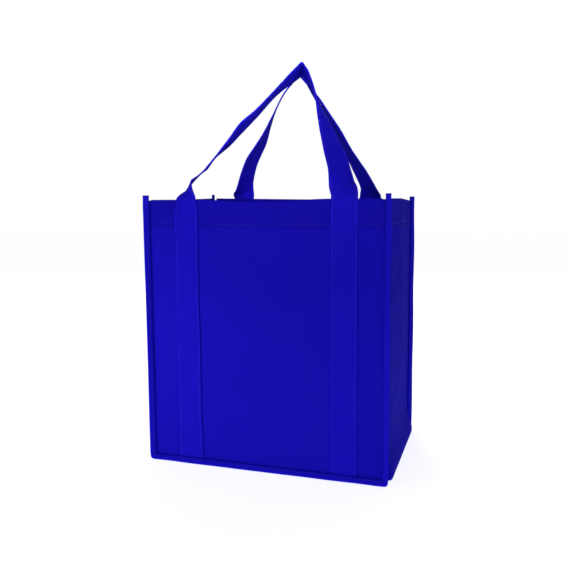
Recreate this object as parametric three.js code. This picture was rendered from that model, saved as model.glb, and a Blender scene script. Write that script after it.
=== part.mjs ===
// A reusable carrier bag of non-woven cloth, standing open and empty on its base.
// Millimetres. Width runs along X, depth along Y with the front at -Y, height along Z from the floor.
import * as THREE from 'three';

// Body, measured between the seam lines
const bagWidth = 303;
const bagDepth = 205;
const bagHeight = 335;
const cornerRadius = 12;
const clothThickness = 0.7;
const layerGap = 0.3;

// How far the standing walls bulge outward, and how far the front edge sags between the straps
const panelBow = 4;
const gussetBow = 5;
const frontSag = 3;
const bowPhaseAtTop = 0.85 * Math.PI;

// Seams: the two cloths lie together at 45 degrees outside the body, wrapped in a binding
const seamAllowance = 7;
const bindingThickness = 0.7;
const bindingStart = 1;
const bindingStub = 6;

// Hems round the mouth
const hemDepth = 36;
const hemSideGap = 4;

// Handles: each is one strap, up one side of the panel, over a sharp fold and down the other side
const strapWidth = 32;
const strapThickness = 1.4;
const strapSpacing = 200;
const strapStand = 2;
const handleGap = 0.6;
const foldRadius = 4;

// How each handle stands: its straps' spacing and shift along X, its fold's rise above the mouth and
// shift along X, and its two free legs. A leg has its climb at the fold, its lean over the mouth and its
// drift along X where it leaves the panel, and the pull of the curve at both ends. It twists by an early
// share and the rest near the fold.
const degrees = THREE.MathUtils.degToRad;
const frontHandle = {
  side: -1, spacing: 202, seatShift: 2, rise: 166, foldShift: 27,
  left: {
    climb: degrees(46), lean: 0.45, drift: 0.06, baseReach: 30, foldReach: 7,
    earlyShare: 0.69, earlyStart: 0, earlyEnd: 0.15, lateStart: 0.89,
  },
  right: {
    climb: degrees(50), lean: 0.45, drift: -0.07, baseReach: 29, foldReach: 8,
    earlyShare: 0.82, earlyStart: 0, earlyEnd: 0.52, lateStart: 0.9,
  },
};
const backHandle = {
  side: 1, spacing: 196, seatShift: -4, rise: 166, foldShift: 15.5,
  left: {
    climb: degrees(36), lean: 0.47, drift: -0.28, baseReach: 21, foldReach: 36,
    earlyShare: 0.7, earlyStart: 0, earlyEnd: 0.13, lateStart: 0.1,
  },
  right: {
    climb: degrees(46), lean: 0.45, drift: 0.03, baseReach: 20, foldReach: 10,
    earlyShare: 0.47, earlyStart: 0, earlyEnd: 0.1, lateStart: 0.38,
  },
};

// Stiffening board that lies loose on the bottom
const boardThickness = 1.5;
const boardCornerRadius = 15;
const boardSideGap = 4;

// Mesh steps
const sideSteps = 8;
const cornerSteps = 4;
const centreSteps = 4;
const gussetSteps = 3;
const curlSteps = 4;
const legSteps = 20;
const foldSteps = 5;
const boardCornerSteps = 5;

// Places that follow from the dimensions
const pairOffset = (clothThickness + layerGap) / 2;
const foldInset = Math.SQRT2 * pairOffset;
const bindingOffset = pairOffset + clothThickness / 2 + layerGap + bindingThickness / 2;
const bindingReach = bindingOffset + bindingThickness / 2;
const seamHeight = seamAllowance * Math.SQRT1_2 + bindingReach;
const topHeight = seamHeight + bagHeight;
const hemRadius = pairOffset;
const rowTop = topHeight - hemRadius;
const hemBottom = topHeight - hemDepth;
const halfWidth = bagWidth / 2;
const halfDepth = bagDepth / 2;
const strapOffset = clothThickness / 2 + layerGap + strapThickness / 2;
const strapStart = seamHeight + (bindingReach - bindingStart) * Math.SQRT1_2 + layerGap;
const apexOffset = strapWidth / 2 + handleGap / 2;

// The U-shaped seam line: each station has its place on the line and its outward direction
function seamStations(heights, bottomShares) {
  const stations = [];
  const cornerX = halfWidth - cornerRadius;
  const cornerZ = seamHeight + cornerRadius;
  const addSide = (side, levels) => {
    for (const z of levels) stations.push({ x: side * halfWidth, z, outX: side, outZ: 0 });
  };
  const addCorner = (side, angles) => {
    for (const angle of angles) {
      const outX = side * Math.cos(angle);
      const outZ = -Math.sin(angle);
      stations.push({
        x: side * cornerX + outX * cornerRadius, z: cornerZ + outZ * cornerRadius, outX, outZ,
      });
    }
  };
  const cornerAngles = [];
  for (let step = 1; step < cornerSteps; step += 1) cornerAngles.push((step / cornerSteps) * Math.PI / 2);
  const rising = [cornerZ, ...heights];
  addSide(-1, [...rising].reverse());
  addCorner(-1, cornerAngles);
  for (const share of bottomShares) stations.push({ x: share * cornerX, z: seamHeight, outX: 0, outZ: -1 });
  addCorner(1, [...cornerAngles].reverse());
  addSide(1, rising);
  return stations;
}

// A point of the seam's section: `pair` runs across the two layers, `reach` out along them
function sectionPoint(station, side, pair, reach) {
  const out = (reach - pair) * Math.SQRT1_2;
  const along = (reach + pair) * Math.SQRT1_2;
  return new THREE.Vector3(
    station.x + station.outX * out, side * (halfDepth + along), station.z + station.outZ * out,
  );
}

// One layer's flange, in rows from the fold out to the cut edge
function flangeRows(stations, side, pair) {
  return [-pairOffset, bindingStart, seamAllowance].map((reach) => (
    stations.map((station) => sectionPoint(station, side, pair, reach))));
}

// Heights of the mesh rows on the walls, with one row on the hem's lower edge
function wallHeights() {
  const start = seamHeight + cornerRadius;
  const heights = [];
  for (let step = 1; step <= sideSteps; step += 1) heights.push(start + (hemBottom - start) * (step / sideSteps));
  heights.push(rowTop);
  return heights;
}

// Half the width of a flat panel at a height, inside the fold of its seam
function panelHalfWidth(z) {
  const radius = cornerRadius - foldInset;
  const rise = Math.min(z - seamHeight - cornerRadius, 0);
  const inset = rise < 0 ? radius - Math.sqrt(Math.max(radius * radius - rise * rise, 0)) : 0;
  return halfWidth - foldInset - inset;
}

function wallBulge(z) {
  return Math.sin(bowPhaseAtTop * Math.max(z - seamHeight - foldInset, 0) / bagHeight);
}

function panelPoint(side, x, z, outside = 0) {
  const share = x / panelHalfWidth(z);
  const bow = panelBow * (1 - share * share) * wallBulge(z);
  const freeHalf = (strapSpacing - strapWidth) / 2;
  const across = Math.max(1 - (x / freeHalf) ** 2, 0);
  const sag = side < 0 ? frontSag * across * across * ((z - seamHeight) / bagHeight) ** 2 : 0;
  return new THREE.Vector3(x, side * (halfDepth + bow + outside), z - sag);
}

// Shares of the half width where the mesh columns stand, with the strap edges among them
function panelShares() {
  const inner = (strapSpacing - strapWidth) / bagWidth;
  const outer = (strapSpacing + strapWidth) / bagWidth;
  const hemEnd = 1 - 2 * hemSideGap / bagWidth;
  const shares = [-1, -hemEnd, -outer, -(inner + outer) / 2];
  for (let step = 0; step <= centreSteps; step += 1) shares.push(inner * (2 * step / centreSteps - 1));
  shares.push((inner + outer) / 2, outer, hemEnd, 1);
  return shares;
}

// Open sheets: points that lie together are merged, and each face is a triangle of point numbers
function newSheet() {
  return { points: [], faces: [], seen: new Map() };
}

function addPoint(sheet, point) {
  const key = point.toArray().map((value) => Math.round(value * 1000)).join(' ');
  if (!sheet.seen.has(key)) {
    sheet.seen.set(key, sheet.points.length);
    sheet.points.push(point.clone());
  }
  return sheet.seen.get(key);
}

// Rows run so that every grid of a sheet turns the same face out
function addRows(sheet, rows) {
  for (let row = 0; row + 1 < rows.length; row += 1) {
    for (let column = 0; column + 1 < rows[row].length; column += 1) {
      const a = addPoint(sheet, rows[row][column]);
      const b = addPoint(sheet, rows[row][column + 1]);
      const c = addPoint(sheet, rows[row + 1][column + 1]);
      const d = addPoint(sheet, rows[row + 1][column]);
      if (a !== b && b !== c && c !== a) sheet.faces.push([a, b, c]);
      if (a !== c && c !== d && d !== a) sheet.faces.push([a, c, d]);
    }
  }
}

// Normals weighted by each face's corner angle, so that a bend is offset evenly on both sides
function sheetNormals(sheet) {
  const normals = sheet.points.map(() => new THREE.Vector3());
  for (const face of sheet.faces) {
    const [a, b, c] = face.map((index) => sheet.points[index]);
    const normal = b.clone().sub(a).cross(c.clone().sub(a)).normalize();
    face.forEach((index, corner) => {
      const here = sheet.points[index];
      const next = sheet.points[face[(corner + 1) % 3]].clone().sub(here);
      const last = sheet.points[face[(corner + 2) % 3]].clone().sub(here);
      normals[index].addScaledVector(normal, next.angleTo(last));
    });
  }
  return normals.map((normal) => normal.normalize());
}

// Gives an open sheet its thickness: both faces are offset from the middle and the rim is closed
function thicken(sheet, thickness) {
  const normals = sheetNormals(sheet);
  const count = sheet.points.length;
  const half = thickness / 2;
  const solid = [
    ...sheet.points.map((point, index) => point.clone().addScaledVector(normals[index], half)),
    ...sheet.points.map((point, index) => point.clone().addScaledVector(normals[index], -half)),
  ];
  const faces = [];
  const edges = new Set();
  for (const [a, b, c] of sheet.faces) {
    faces.push([a, b, c], [c + count, b + count, a + count]);
    for (const [from, to] of [[a, b], [b, c], [c, a]]) edges.add(`${from} ${to}`);
  }
  for (const [a, b, c] of sheet.faces) {
    for (const [from, to] of [[a, b], [b, c], [c, a]]) {
      if (!edges.has(`${to} ${from}`)) {
        faces.push([to, from, from + count], [to, from + count, to + count]);
      }
    }
  }
  return closedGeometry(solid, faces);
}

function closedGeometry(points, faces) {
  let volume = 0;
  for (const [a, b, c] of faces) volume += points[a].dot(points[b].clone().cross(points[c]));
  const outward = volume < 0 ? faces.map(([a, b, c]) => [a, c, b]) : faces;
  const geometry = new THREE.BufferGeometry();
  const positions = points.flatMap((point) => point.toArray());
  geometry.setAttribute('position', new THREE.Float32BufferAttribute(positions, 3));
  geometry.setIndex(outward.flat());
  geometry.computeVertexNormals();
  return geometry;
}

// The hem: over a half round and down inside the wall to the hem's lower edge.
// `place` gives the wall's point at a height, and `inward` the way into the bag.
function hemColumn(place, inward) {
  const column = [];
  for (let step = 0; step <= curlSteps; step += 1) {
    const angle = Math.PI * step / curlSteps;
    const point = place(rowTop).addScaledVector(inward, hemRadius * (1 - Math.cos(angle)));
    point.z += hemRadius * Math.sin(angle);
    column.push(point);
  }
  column.push(place(hemBottom).addScaledVector(inward, 2 * hemRadius));
  return column;
}

function panelSheet(side) {
  const sheet = newSheet();
  const shares = panelShares();
  const heights = wallHeights();
  const stations = seamStations(heights, shares);
  const rowCount = cornerSteps + heights.length;
  const rows = [];
  for (let row = 0; row <= rowCount; row += 1) {
    const first = sectionPoint(stations[rowCount - row], side, pairOffset, -pairOffset);
    rows.push(shares.map((share) => panelPoint(side, -share * first.x, first.z)));
  }
  addRows(sheet, rows);
  addRows(sheet, flangeRows(stations, side, pairOffset).reverse());
  const inward = new THREE.Vector3(0, -side, 0);
  const wide = panelHalfWidth(rowTop);
  const columns = shares.slice(1, -1).map((share) => (
    hemColumn((z) => panelPoint(side, share * wide, z), inward)));
  addRows(sheet, columns.reverse());
  return sheet;
}

// The gusset is one strip: down the left side, along the bottom and up the right side
function gussetPoint(station, share) {
  const belly = 0.5 * (1 - share * share) + 0.5 * (1 - Math.abs(share));
  const out = station.outZ === 0 ? gussetBow * belly * gussetSwell(station.z) : 0;
  return new THREE.Vector3(
    station.x + station.outX * out, share * (halfDepth - foldInset), station.z,
  );
}

function gussetSwell(z) {
  const start = seamHeight + cornerRadius;
  return Math.sin(bowPhaseAtTop * (z - start) / (topHeight - start));
}

function gussetSheet() {
  const sheet = newSheet();
  const heights = wallHeights();
  const stations = seamStations(heights, panelShares());
  const hemEnd = 1 - 2 * hemSideGap / bagDepth;
  const shares = [-1, -hemEnd];
  for (let step = 1 - gussetSteps; step < gussetSteps; step += 1) shares.push(step / gussetSteps);
  shares.push(hemEnd, 1);
  addRows(sheet, shares.map((share) => stations.map((station) => gussetPoint(station, share))));
  addRows(sheet, flangeRows(stations, -1, -pairOffset).reverse());
  addRows(sheet, flangeRows(stations, 1, -pairOffset));
  const hem = (side) => shares.slice(1, -1).map((share) => (
    hemColumn(
      (z) => gussetPoint({ x: side * halfWidth, z, outX: side, outZ: 0 }, share),
      new THREE.Vector3(-side, 0, 0),
    )));
  addRows(sheet, hem(-1).reverse());
  addRows(sheet, hem(1));
  return sheet;
}

// A tape folded over both layers of a seam, with its free ends standing above the mouth
function bindingSheet(side) {
  const sheet = newSheet();
  const stations = seamStations([...wallHeights(), topHeight + bindingStub], panelShares());
  const section = [[bindingOffset, bindingStart]];
  for (let step = 0; step <= curlSteps; step += 1) {
    const angle = Math.PI * step / curlSteps;
    section.push([bindingOffset * Math.cos(angle), seamAllowance + bindingOffset * Math.sin(angle)]);
  }
  section.push([-bindingOffset, bindingStart]);
  addRows(sheet, section.map(([pair, reach]) => (
    stations.map((station) => sectionPoint(station, side, pair, reach)))));
  return sheet;
}

// Where a strap leaves the panel, a little above the mouth
function strapTop(handle, way) {
  const x = handle.seatShift + way * handle.spacing / 2;
  return panelPoint(handle.side, x, rowTop, strapOffset).setZ(topHeight + strapStand);
}

// The fold lies in a plane that leans in over the mouth, and both legs' inner edges meet at its front
function handleFold(handle) {
  const { side, rise, foldShift } = handle;
  const lean = Math.atan2(Math.abs(strapTop(handle, 1).y) - apexOffset, rise);
  const across = new THREE.Vector3(0, side * Math.cos(lean), Math.sin(lean));
  const up = new THREE.Vector3(0, -side * Math.sin(lean), Math.cos(lean));
  const top = new THREE.Vector3(foldShift, side * apexOffset, topHeight + rise);
  const centre = top.addScaledVector(up, -foldRadius);
  const point = (angle) => centre.clone()
    .addScaledVector(up, foldRadius * Math.cos(angle))
    .addScaledVector(new THREE.Vector3(1, 0, 0), foldRadius * Math.sin(angle));
  const climb = (angle) => new THREE.Vector3(Math.cos(angle), 0, 0).addScaledVector(up, -Math.sin(angle));
  return { across, point, climb };
}

function twistShare(leg, along) {
  const { smoothstep } = THREE.MathUtils;
  const early = leg.earlyShare * smoothstep(along, leg.earlyStart, leg.earlyEnd);
  return early + (1 - leg.earlyShare) * smoothstep(along, leg.lateStart, 1);
}

// Turns the strap's cross direction about its run, from flat on the panel to flat in the fold
function strapAcross(run, from, to, share) {
  const start = from.clone().addScaledVector(run, -from.dot(run)).normalize();
  const end = to.clone().addScaledVector(run, -to.dot(run)).normalize();
  const angle = Math.atan2(start.clone().cross(end).dot(run), start.dot(end));
  return start.applyAxisAngle(run, angle * share);
}

function strapRow(centre, across) {
  return [-0.5, 0, 0.5].map((share) => centre.clone().addScaledVector(across, share * strapWidth));
}

// One free leg, from above the mouth to the fold. `way` is -1 for the left leg, 1 for the right.
function legRows(handle, way, leg, fold) {
  const foldAngle = way * leg.climb;
  const start = strapTop(handle, way);
  const end = fold.point(foldAngle);
  const rise = new THREE.Vector3(leg.drift, -handle.side * leg.lean, 1).multiplyScalar(leg.baseReach);
  const down = fold.climb(foldAngle).multiplyScalar(way * leg.foldReach);
  const curve = new THREE.CubicBezierCurve3(start, start.clone().add(rise), end.clone().add(down), end);
  const inner = new THREE.Vector3(-way, 0, 0);
  const rows = [strapRow(start, inner)];
  for (let step = 1; step < legSteps; step += 1) {
    const along = step / legSteps;
    const across = strapAcross(curve.getTangentAt(along), inner, fold.across, twistShare(leg, along));
    rows.push(strapRow(curve.getPointAt(along), across));
  }
  return rows;
}

function strapOnPanel(handle, way) {
  const inner = new THREE.Vector3(-way, 0, 0);
  const middle = new THREE.Vector3(handle.seatShift + way * handle.spacing / 2, 0, 0);
  const heights = [strapStart, seamHeight + cornerRadius, ...wallHeights()];
  return heights.map((z) => (
    strapRow(middle, inner).map((point) => panelPoint(handle.side, point.x, z, strapOffset))));
}

function handleSheet(handle) {
  const sheet = newSheet();
  const fold = handleFold(handle);
  const foldRows = [];
  for (let step = 0; step <= foldSteps; step += 1) {
    const angle = THREE.MathUtils.lerp(-handle.left.climb, handle.right.climb, step / foldSteps);
    foldRows.push(strapRow(fold.point(angle), fold.across));
  }
  addRows(sheet, [
    ...strapOnPanel(handle, -1),
    ...legRows(handle, -1, handle.left, fold),
    ...foldRows,
    ...legRows(handle, 1, handle.right, fold).reverse(),
    ...strapOnPanel(handle, 1).reverse(),
  ]);
  return sheet;
}

// The board covers the flat of the bottom between the round corners
function boardGeometry() {
  const x = halfWidth - cornerRadius;
  const y = halfDepth - boardSideGap;
  const radius = boardCornerRadius;
  const outline = new THREE.Shape();
  outline.moveTo(radius - x, -y);
  outline.absarc(x - radius, radius - y, radius, -Math.PI / 2, 0);
  outline.absarc(x - radius, y - radius, radius, 0, Math.PI / 2);
  outline.absarc(radius - x, y - radius, radius, Math.PI / 2, Math.PI);
  outline.absarc(radius - x, radius - y, radius, Math.PI, 1.5 * Math.PI);
  return new THREE.ExtrudeGeometry(outline, {
    depth: boardThickness, bevelEnabled: false, curveSegments: boardCornerSteps,
  });
}

function clothMaterial() {
  return new THREE.MeshStandardMaterial({ color: 0x1a11b2, roughness: 0.9, metalness: 0 });
}

function bindingMaterial() {
  return new THREE.MeshStandardMaterial({ color: 0x1b11b9, roughness: 0.85, metalness: 0 });
}

function boardMaterial() {
  return new THREE.MeshStandardMaterial({ color: 0x1c1c1e, roughness: 0.6, metalness: 0 });
}

function namedMesh(name, geometry, material) {
  const mesh = new THREE.Mesh(geometry, material);
  mesh.name = name;
  return mesh;
}

const bag = new THREE.Group();
bag.add(namedMesh('front_panel', thicken(panelSheet(-1), clothThickness), clothMaterial()));
bag.add(namedMesh('back_panel', thicken(panelSheet(1), clothThickness), clothMaterial()));
bag.add(namedMesh('gusset', thicken(gussetSheet(), clothThickness), clothMaterial()));
bag.add(namedMesh('front_binding', thicken(bindingSheet(-1), bindingThickness), bindingMaterial()));
bag.add(namedMesh('back_binding', thicken(bindingSheet(1), bindingThickness), bindingMaterial()));
bag.add(namedMesh('front_handle', thicken(handleSheet(frontHandle), strapThickness), clothMaterial()));
bag.add(namedMesh('back_handle', thicken(handleSheet(backHandle), strapThickness), clothMaterial()));
const board = namedMesh('bottom_board', boardGeometry(), boardMaterial());
board.position.z = seamHeight + clothThickness / 2 + layerGap;
bag.add(board);

export default bag;
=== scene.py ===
"""A reusable carrier bag of blue non-woven cloth, standing open and empty. Metres, front at -Y, up +Z."""

import math

import bpy
import numpy as np
from bpy.props import FloatProperty, FloatVectorProperty, IntProperty, PointerProperty
from mathutils import Matrix, Vector


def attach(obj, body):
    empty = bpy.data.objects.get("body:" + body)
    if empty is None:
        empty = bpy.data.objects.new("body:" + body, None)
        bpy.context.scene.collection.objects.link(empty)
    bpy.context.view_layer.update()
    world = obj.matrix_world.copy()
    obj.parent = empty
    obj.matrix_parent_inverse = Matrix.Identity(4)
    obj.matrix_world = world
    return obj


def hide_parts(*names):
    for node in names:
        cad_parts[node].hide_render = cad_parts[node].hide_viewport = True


bl_info = {
    "name": "Non-woven Carrier Bag",
    "version": (1, 0, 0),
    "blender": (4, 2, 0),
    "location": "3D View > Sidebar > Bag",
    "description": "Makes a standing carrier bag of non-woven cloth with bound seams and two strap handles",
    "category": "Add Mesh",
}

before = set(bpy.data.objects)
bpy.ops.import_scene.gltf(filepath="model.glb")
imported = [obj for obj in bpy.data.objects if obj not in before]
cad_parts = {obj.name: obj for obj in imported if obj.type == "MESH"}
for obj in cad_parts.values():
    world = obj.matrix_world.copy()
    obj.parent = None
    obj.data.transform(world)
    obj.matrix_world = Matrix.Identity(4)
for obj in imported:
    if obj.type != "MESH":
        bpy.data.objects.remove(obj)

# How each handle stands. The seats are the sewn straps' middles, in metres. The fold has its middle in
# millimetres, its lean over the mouth in degrees, its yaw, and both legs' climb there in degrees. A
# leg's stations run from the mouth to the fold: x, y, z in millimetres for the bag as it stands, and
# the strap's twist from flat on the panel in degrees.
FRONT_HANDLE = {
    "side": -1, "seats": (-0.0993, 0.103),
    "fold": (26.4, -16.3, 505.6), "lean": 23.0, "yaw": 0.25, "climb": (52, 64),
    "left": (
        (-100.5, -105, 344, -38), (-98.5, -101, 353.5, -50), (-96, -96, 363, -58),
        (-87, -91.5, 372, -54), (-77.5, -87, 381.5, -56), (-68, -79, 396.5, -54),
        (-54.5, -69.5, 413.5, -63), (-42, -59, 432, -69), (-24, -48, 451.5, -64),
        (-1.5, -31.5, 480, -62), (24, -16, 507, -78),
    ),
    "right": (
        (103, -105, 344, 0), (102.5, -103, 349, 4), (99.5, -99.5, 356.5, 14),
        (98, -97, 361.5, 28), (94, -90, 375, 39), (86, -79, 395, 42),
        (76, -67, 416, 57), (65.5, -54, 439.5, 71), (53.3, -39, 464.5, 90),
        (35.8, -21, 495, 102), (30.5, -14.5, 505.5, 102),
    ),
}
BACK_HANDLE = {
    "side": 1, "seats": (-0.102, 0.094),
    "fold": (16.0, 16.3, 506.3), "lean": 23.0, "yaw": -0.1, "climb": (50, 60),
    "left": (
        (-102, 105, 344, 0), (-102, 104, 348, 18), (-99.5, 100, 356, 46),
        (-94.5, 93.5, 368, 58), (-85.5, 84, 386, 62), (-75, 75, 402, 62),
        (-61.5, 66, 418.5, 69), (-47, 54.5, 439, 84), (-30, 40.5, 463, 93),
        (-8.5, 25.5, 488, 90), (12.5, 15, 506.5, 92),
    ),
    "right": (
        (94, 105, 344, 0), (94, 104.5, 347, -10), (93.3, 101.5, 353, -26),
        (90, 96, 363, -34), (83.5, 88.5, 377.5, -38), (75, 79.5, 395, -45),
        (66, 69, 414, -51), (56, 57.5, 434, -49), (44.5, 45, 456.5, -54),
        (33.5, 31, 480.5, -65), (19, 15.5, 506.5, -84),
    ),
}

# Soft folds in the walls: both ends (across, height), half width and height out of the wall, metres.
FRONT_FOLDS = (
    (-0.116, 0.318, -0.147, 0.262, 0.007, 0.0012),
    (-0.114, 0.300, -0.134, 0.228, 0.009, -0.0011),
    (0.122, 0.312, 0.136, 0.210, 0.010, -0.0012),
    (0.076, 0.306, 0.070, 0.200, 0.012, 0.0008),
    (-0.076, 0.310, -0.060, 0.215, 0.012, 0.0009),
    (-0.020, 0.345, -0.008, 0.262, 0.020, -0.0008),
    (-0.145, 0.040, -0.085, 0.012, 0.010, 0.0009),
    (0.146, 0.046, 0.080, 0.014, 0.010, 0.0009),
)
BACK_FOLDS = (
    (-0.112, 0.330, -0.144, 0.250, 0.009, 0.0011),
    (0.114, 0.322, 0.142, 0.240, 0.010, -0.0011),
    (0.010, 0.345, 0.030, 0.240, 0.022, 0.0008),
    (-0.145, 0.042, -0.080, 0.012, 0.010, 0.0009),
)

# The seam of each side that is pulled round at the mouth: its end in x, how far it turns there in
# radians, and the two heights between which the turn grows.
SEAM_TURNS = {-1: (-1, -0.6, 0.318, 0.347), 1: (1, 0.22, 0.26, 0.33)}


class BagSizes(bpy.types.PropertyGroup):
    """Sizes and colours of the bag."""

    width: FloatProperty(
        name="Width", description="Between the side seams", default=0.303, unit="LENGTH")
    depth: FloatProperty(
        name="Depth", description="Between the front and back seams", default=0.205, unit="LENGTH")
    height: FloatProperty(
        name="Height", description="From the bottom seam to the mouth", default=0.335, unit="LENGTH")
    strap_width: FloatProperty(
        name="Strap Width", description="Width of the handle straps", default=0.032, unit="LENGTH")
    strap_spacing: FloatProperty(
        name="Strap Spacing", description="Between the two straps' middles on one panel",
        default=0.2, unit="LENGTH")
    hem_depth: FloatProperty(
        name="Hem Depth", description="Depth of the hem round the mouth", default=0.036, unit="LENGTH")
    grid: FloatProperty(
        name="Grid Step", description="Distance between the mesh rows of the cloth",
        default=0.0025, min=0.001, max=0.01, unit="LENGTH")
    fold_depth: FloatProperty(
        name="Fold Depth", description="How strongly the walls are creased, 1 as it stands",
        default=1.0, min=0.0, max=2.0)
    seed: IntProperty(name="Seed", description="Pattern of the small undulations", default=7)
    cloth_colour: FloatVectorProperty(
        name="Cloth", description="Colour of the cloth", subtype="COLOR", size=3,
        default=(0.0081, 0.0042, 0.430), min=0, max=1)
    # Painted light: the tapes' colour is set paler than the cloth's, for the light the 45 degree bound seams
    # catch.
    tape_colour: FloatVectorProperty(
        name="Tape", description="Colour of the binding tapes", subtype="COLOR", size=3,
        default=(0.0100, 0.0052, 0.560), min=0, max=1)
    # Painted highlight: the thread is the cloth's blue, set paler here for the sheen its stitches catch.
    thread_colour: FloatVectorProperty(
        name="Thread", description="Colour of the sewing thread", subtype="COLOR", size=3,
        default=(0.0200, 0.0120, 0.62), min=0, max=1)
    board_colour: FloatVectorProperty(
        name="Board", description="Colour of the base board", subtype="COLOR", size=3,
        default=(0.012, 0.012, 0.013), min=0, max=1)


# Cloth, and the gap that keeps one layer off the next. PAIR is from the middle of two layers to each.
# All sizes are in metres.
CLOTH = 0.0007
GAP = 0.0003
PAIR = (CLOTH + GAP) / 2
SEAM = 0.007

# The hem starts this far from the seams. Its stitches stand this high over its lower edge.
HEM_SIDE_GAP = 0.004
HEM_STITCH = 0.0065
HEM_PITCH = 0.0055
HEM_LIFT = 0.00035
HEM_GROOVE = 0.00030
HEM_GROOVE_WIDTH = 0.0011
HEM_ROWS = 12
HEM_CURL_STEPS = 6

# The bottom corners' radius and how square they are, 2 being round.
CORNER = 0.004
SQUARENESS = 5
CORNER_STEPS = 8

# How far the walls bow out, the front's mouth sags and the back's mouth drops and tilts.
BOW_PANEL = 0.004
BOW_GUSSET = 0.005
BOW_PHASE = 0.85 * math.pi
FRONT_SAG = 0.003
BACK_DROP = 0.0008
BACK_TILT = 0.0025

# Heights of the walls' long undulations.
PANEL_ROLLING = 0.00055
GUSSET_ROLLING = 0.0006
BOTTOM_ROLLING = 0.0004

# The front left strap's pull on its panel: slope and reach down from the mouth, twice, and its width.
PULLS = ((0.52, 0.021), (0.07, 0.11))
PULL_WIDTH = 0.022

# The gusset's lower corners are pushed out and down by the board.
CORNER_OUT = 0.0095
CORNER_DOWN = 0.0054
CORNER_SPREAD = 0.022

# The binding tapes: where they start on the seam, their free ends and their stitch row.
TAPE = 0.0007
TAPE_OFFSET = PAIR + CLOTH / 2 + GAP + TAPE / 2
TAPE_START = 0.001
TAPE_STUB = 0.006
TAPE_STITCH = 0.0042
FLANGE_ROWS = np.array([-PAIR, 0.0, TAPE_START, 0.003, 0.005, SEAM])

# The straps. Their stitch rows run at this share of the half width. The sewn part ends a little above
# the mouth, and the free legs are cupped by CUP.
STRAP = 0.0014
STRAP_OFFSET = CLOTH / 2 + GAP + STRAP / 2
STITCH_LINE = 0.82
SEWN_END = 0.0012
SEWN_ROWS = 140
LEG_START = 0.0008
LEG_ROWS = 100
CUP = 0.0009
FOLD_RADIUS = 0.0022

# The board: its thickness, corner radius and softened edge, and its gaps to the seams.
BOARD = 0.0015
BOARD_CORNER = 0.015
BOARD_EDGE = 0.0003
BOARD_END_GAP = 0.012
BOARD_SIDE_GAP = 0.004

# The bag's sizes that the handles' stations were given for.
STATION_SPACING = 0.2
STATION_DEPTH = 0.205
STATION_TOP = 0.3418

# The camera: its lens in millimetres, place, and yaw, pitch and roll in radians.
LENS = 43.79
CAMERA_PLACE = (0.28004, -0.88989, 0.34194)
CAMERA_TURN = (-0.3127, 0.1202, -0.0066)

# Strength of the white room as light, and of the floor's glow as it is seen and as it lights the bag.
ROOM_LIGHT = 0.27
FLOOR_SEEN = 0.775
FLOOR_LIGHT = 0.50
FLOOR_REACH = (0.5, 1.3)
FLOOR_HALF = 6


def smooth(x, low=0.0, high=1.0):
    """Rises smoothly from 0 at low to 1 at high."""
    t = np.clip((np.asarray(x, float) - low) / (high - low), 0, 1)
    return t * t * (3 - 2 * t)


def unit(v):
    """Each vector over its own length."""
    return v / np.maximum(np.linalg.norm(v, axis=-1, keepdims=True), 1e-12)


def waves(u, v, seed, count=16, shortest=0.035, longest=0.16):
    """A sum of plane waves with seeded directions and lengths, about -1 to 1."""
    rng = np.random.default_rng(seed)
    total = 0
    for _ in range(count):
        length = shortest * (longest / shortest) ** rng.random()
        turn, phase = rng.random(2) * 2 * math.pi
        total = total + np.sin(2 * math.pi * (u * math.cos(turn) + v * math.sin(turn)) / length + phase)
    return total / math.sqrt(count)


def soft_folds(u, v, folds):
    """Ridges and valleys along straight lines: a bell across each line, fading at both its ends."""
    total = 0
    for u0, v0, u1, v1, half_width, rise in folds:
        run = math.hypot(u1 - u0, v1 - v0)
        along = ((u - u0) * (u1 - u0) + (v - v0) * (v1 - v0)) / run ** 2
        away = ((u - u0) * (v1 - v0) - (v - v0) * (u1 - u0)) / run
        fade = smooth(along, -0.25, 0.2) * (1 - smooth(along, 0.65, 1.15))
        total = total + rise * fade * np.exp(-((away / half_width) ** 2))
    return total


def fine_waves(u, v, seed):
    """The cloth's short undulations, about a tenth of a millimetre high."""
    return 0.00012 * waves(u, v, seed, 14, 0.012, 0.035)


def inside_seams(share, width):
    """1 over most of a wall, falling to 0 at its seams over the last `width` of its half width."""
    return smooth(1 - np.abs(share), 0, width)


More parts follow.
